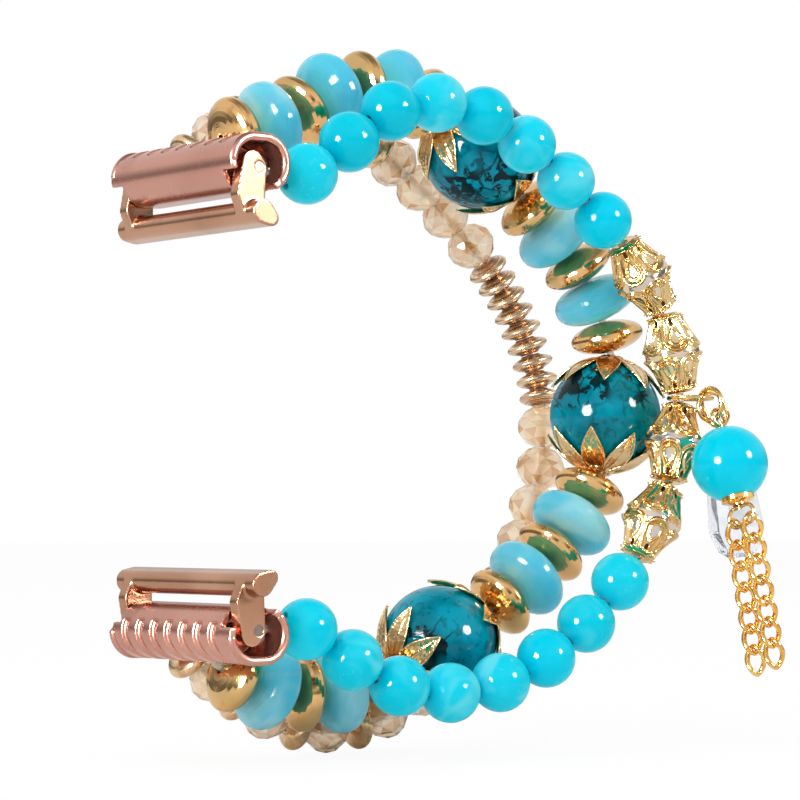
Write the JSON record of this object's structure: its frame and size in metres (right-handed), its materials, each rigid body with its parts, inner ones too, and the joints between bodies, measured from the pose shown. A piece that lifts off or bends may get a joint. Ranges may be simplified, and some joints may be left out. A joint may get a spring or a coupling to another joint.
{
  "type": "beaded watch band",
  "caption": "Stretch watch band of three beaded strands between two ribbed hinged connectors, with a charm and chain tassel.",
  "frame": {"origin": "midpoint between the two hinge pins, where the middle of the watch case goes", "axes": "+X along the hinge pins and the wrist's axis, -Y towards the dial side and +Y towards the back of the wrist, +Z towards 12 o'clock"},
  "size_m": [0.0402, 0.0654, 0.0714],
  "materials": {
    "rose_gold": "polished rose-gold plate",
    "lug_metal": "satin rose-gold plate",
    "pin_steel": "ground steel",
    "elastic": "clear stretch cord",
    "jade": "polished dyed stone, slightly milky",
    "turquoise": "polished stone with dark veins",
    "opal": "milky polished glass",
    "crystal": "faceted champagne glass",
    "clear_crystal": "clear faceted glass",
    "filigree_gold": "pierced gilt filigree",
    "yellow_gold": "polished gold plate",
    "antique_gold": "antique gold plate"
  },
  "bodies": {
    "band": {"top_connector": "rose_gold", "bottom_connector": "rose_gold", "front_cord": "elastic", "middle_cord": "elastic", "back_cord": "elastic", "opal_rondelles": "opal", "gold_saucers": "yellow_gold", "crystal_beads": "crystal", "spacer_discs": "antique_gold", "small_discs": "antique_gold"},
    "top_lug": {"top_lug": "lug_metal", "top_hinge_pin": "pin_steel"},
    "bottom_lug": {"bottom_lug": "lug_metal", "bottom_hinge_pin": "pin_steel"},
    "round_bead_top_1": {"round_bead_top_1": "jade"},
    "round_bead_top_2": {"round_bead_top_2": "jade"},
    "round_bead_top_3": {"round_bead_top_3": "jade"},
    "round_bead_top_4": {"round_bead_top_4": "jade"},
    "round_bead_top_5": {"round_bead_top_5": "jade"},
    "round_bead_top_6": {"round_bead_top_6": "jade"},
    "round_bead_top_7": {"round_bead_top_7": "jade"},
    "round_bead_top_8": {"round_bead_top_8": "jade"},
    "round_bead_bottom_1": {"round_bead_bottom_1": "jade"},
    "round_bead_bottom_2": {"round_bead_bottom_2": "jade"},
    "round_bead_bottom_3": {"round_bead_bottom_3": "jade"},
    "round_bead_bottom_4": {"round_bead_bottom_4": "jade"},
    "round_bead_bottom_5": {"round_bead_bottom_5": "jade"},
    "round_bead_bottom_6": {"round_bead_bottom_6": "jade"},
    "round_bead_bottom_7": {"round_bead_bottom_7": "jade"},
    "round_bead_bottom_8": {"round_bead_bottom_8": "jade"},
    "lantern_bead_1": {"lantern_bead_1": "filigree_gold"},
    "lantern_bead_2": {"lantern_bead_2": "filigree_gold"},
    "lantern_bead_3": {"lantern_bead_3": "filigree_gold"},
    "lantern_bead_4": {"lantern_bead_4": "filigree_gold"},
    "turquoise_top": {"turquoise_bead_top": "turquoise", "bead_caps_top": "yellow_gold"},
    "turquoise_back": {"turquoise_bead_back": "turquoise", "bead_caps_back": "yellow_gold"},
    "turquoise_bottom": {"turquoise_bead_bottom": "turquoise", "bead_caps_bottom": "yellow_gold"},
    "jump_ring": {"jump_ring": "yellow_gold"},
    "hanging_link": {"hanging_link": "yellow_gold"},
    "charm": {"head_pin": "yellow_gold", "charm_bead": "jade", "charm_cap": "yellow_gold"},
    "chain_left": {"tassel_chain_left": "yellow_gold"},
    "chain_right": {"tassel_chain_right": "yellow_gold"},
    "drop_bail": {"drop_bail": "yellow_gold"},
    "drop": {"crystal_drop": "clear_crystal"}
  },
  "joints": [
    {"name": "top_lug_swing", "type": "hinge", "parent": "band", "child": "top_lug", "pos_m": [0, 0, 0.0215], "axis": [1, 0, 0], "range_deg": [-20, 20]},
    {"name": "bottom_lug_swing", "type": "hinge", "parent": "band", "child": "bottom_lug", "pos_m": [0, 0, -0.0215], "axis": [1, 0, 0], "range_deg": [-20, 20]},
    {"name": "round_bead_top_1_spin", "type": "hinge", "parent": "band", "child": "round_bead_top_1", "pos_m": [0.0075, 0.00735, 0.0216], "axis": [0, 0.9135, 0.4067], "continuous": true},
    {"name": "round_bead_top_2_spin", "type": "hinge", "parent": "band", "child": "round_bead_top_2", "pos_m": [0.00746, 0.01233, 0.02502], "axis": [-0.014, 0.7071, 0.7069], "continuous": true},
    {"name": "round_bead_top_3_spin", "type": "hinge", "parent": "band", "child": "round_bead_top_3", "pos_m": [0.00735, 0.01733, 0.02842], "axis": [-0.0197, 0.9174, 0.3975], "continuous": true},
    {"name": "round_bead_top_4_spin", "type": "hinge", "parent": "band", "child": "round_bead_top_4", "pos_m": [0.00722, 0.02322, 0.02974], "axis": [-0.0222, 0.9993, 0.0312], "continuous": true},
    {"name": "round_bead_top_5_spin", "type": "hinge", "parent": "band", "child": "round_bead_top_5", "pos_m": [0.00709, 0.02924, 0.02894], "axis": [-0.0203, 0.957, -0.2894], "continuous": true},
    {"name": "round_bead_top_6_spin", "type": "hinge", "parent": "band", "child": "round_bead_top_6", "pos_m": [0.00699, 0.03485, 0.02652], "axis": [-0.0123, 0.8668, -0.4985], "continuous": true},
    {"name": "round_bead_top_7_spin", "type": "hinge", "parent": "band", "child": "round_bead_top_7", "pos_m": [0.00697, 0.04, 0.02319], "axis": [0.0053, 0.8104, -0.5859], "continuous": true},
    {"name": "round_bead_top_8_spin", "type": "hinge", "parent": "band", "child": "round_bead_top_8", "pos_m": [0.00708, 0.04488, 0.01945], "axis": [0.0294, 0.7752, -0.631], "continuous": true},
    {"name": "round_bead_bottom_1_spin", "type": "hinge", "parent": "band", "child": "round_bead_bottom_1", "pos_m": [0.0075, 0.00735, -0.0216], "axis": [0, -0.9135, 0.4067], "continuous": true},
    {"name": "round_bead_bottom_2_spin", "type": "hinge", "parent": "band", "child": "round_bead_bottom_2", "pos_m": [0.00761, 0.01266, -0.02463], "axis": [-0.0367, -0.8148, 0.5785], "continuous": true},
    {"name": "round_bead_bottom_3_spin", "type": "hinge", "parent": "band", "child": "round_bead_bottom_3", "pos_m": [0.00786, 0.01812, -0.02728], "axis": [-0.0441, -0.9584, 0.2822], "continuous": true},
    {"name": "round_bead_bottom_4_spin", "type": "hinge", "parent": "band", "child": "round_bead_bottom_4", "pos_m": [0.00814, 0.02414, -0.02812], "axis": [-0.046, -0.9989, -0.0086], "continuous": true},
    {"name": "round_bead_bottom_5_spin", "type": "hinge", "parent": "band", "child": "round_bead_bottom_5", "pos_m": [0.00841, 0.03017, -0.02729], "axis": [-0.0425, -0.9643, -0.2615], "continuous": true},
    {"name": "round_bead_bottom_6_spin", "type": "hinge", "parent": "band", "child": "round_bead_bottom_6", "pos_m": [0.00864, 0.03586, -0.02505], "axis": [-0.0335, -0.8845, -0.4654], "continuous": true},
    {"name": "round_bead_bottom_7_spin", "type": "hinge", "parent": "band", "child": "round_bead_bottom_7", "pos_m": [0.00881, 0.04099, -0.02171], "axis": [-0.0191, -0.784, -0.6205], "continuous": true},
    {"name": "round_bead_bottom_8_spin", "type": "hinge", "parent": "band", "child": "round_bead_bottom_8", "pos_m": [0.00886, 0.04548, -0.01754], "axis": [-0.0002, -0.677, -0.736], "continuous": true},
    {"name": "lantern_bead_1_spin", "type": "hinge", "parent": "band", "child": "lantern_bead_1", "pos_m": [0.0074, 0.04999, 0.01396], "axis": [0.0513, 0.6093, -0.7913], "continuous": true},
    {"name": "lantern_bead_2_spin", "type": "hinge", "parent": "band", "child": "lantern_bead_2", "pos_m": [0.0079, 0.05363, 0.00605], "axis": [0.06, 0.205, -0.9769], "continuous": true},
    {"name": "lantern_bead_3_spin", "type": "hinge", "parent": "band", "child": "lantern_bead_3", "pos_m": [0.00842, 0.05339, -0.00334], "axis": [0.049, -0.2518, -0.9665], "continuous": true},
    {"name": "lantern_bead_4_spin", "type": "hinge", "parent": "band", "child": "lantern_bead_4", "pos_m": [0.00876, 0.04991, -0.01147], "axis": [0.0249, -0.5256, -0.8504], "continuous": true},
    {"name": "turquoise_top_spin", "type": "hinge", "parent": "band", "child": "turquoise_top", "pos_m": [-0.00279, 0.0365, 0.02677], "axis": [0.0243, 0.7988, -0.6011], "continuous": true},
    {"name": "turquoise_back_spin", "type": "hinge", "parent": "band", "child": "turquoise_back", "pos_m": [-0.00038, 0.0516, -0.00024], "axis": [0.0532, -0.2024, -0.9779], "continuous": true},
    {"name": "turquoise_bottom_spin", "type": "hinge", "parent": "band", "child": "turquoise_bottom", "pos_m": [-0.00085, 0.02967, -0.02374], "axis": [-0.0777, -0.8911, -0.4471], "continuous": true},
    {"name": "jump_ring_swivel", "type": "hinge", "parent": "band", "child": "jump_ring", "pos_m": [0.00818, 0.05453, 0.00133], "axis": [0, 0, 1], "range_deg": [-4, 30]},
    {"name": "hanging_link_swing", "type": "hinge", "parent": "jump_ring", "child": "hanging_link", "pos_m": [0.01183, 0.0546, 0.00133], "axis": [0.0174, -0.9998, 0], "range_deg": [0, 30]},
    {"name": "charm_swing", "type": "hinge", "parent": "hanging_link", "child": "charm", "pos_m": [0.01376, 0.05463, -0.00059], "axis": [0.707, 0.0123, 0.7071], "range_deg": [-10, 3]},
    {"name": "chain_left_swing", "type": "hinge", "parent": "charm", "child": "chain_left", "pos_m": [0.01565, 0.05466, -0.01182], "axis": [0.9509, 0.0166, 0.309], "range_deg": [-15, 15]},
    {"name": "chain_right_swing", "type": "hinge", "parent": "charm", "child": "chain_right", "pos_m": [0.01883, 0.05472, -0.01079], "axis": [0.9509, 0.0166, 0.309], "range_deg": [-15, 15]},
    {"name": "drop_bail_swing", "type": "hinge", "parent": "jump_ring", "child": "drop_bail", "pos_m": [0.01031, 0.05665, 0.00133], "axis": [0.9511, -0.309, 0], "range_deg": [0, 15]},
    {"name": "drop_swing", "type": "hinge", "parent": "drop_bail", "child": "drop", "pos_m": [0.01089, 0.05788, -0.00145], "axis": [-0.3798, -0.8146, -0.4384], "range_deg": [-10, 3]}
  ]
}
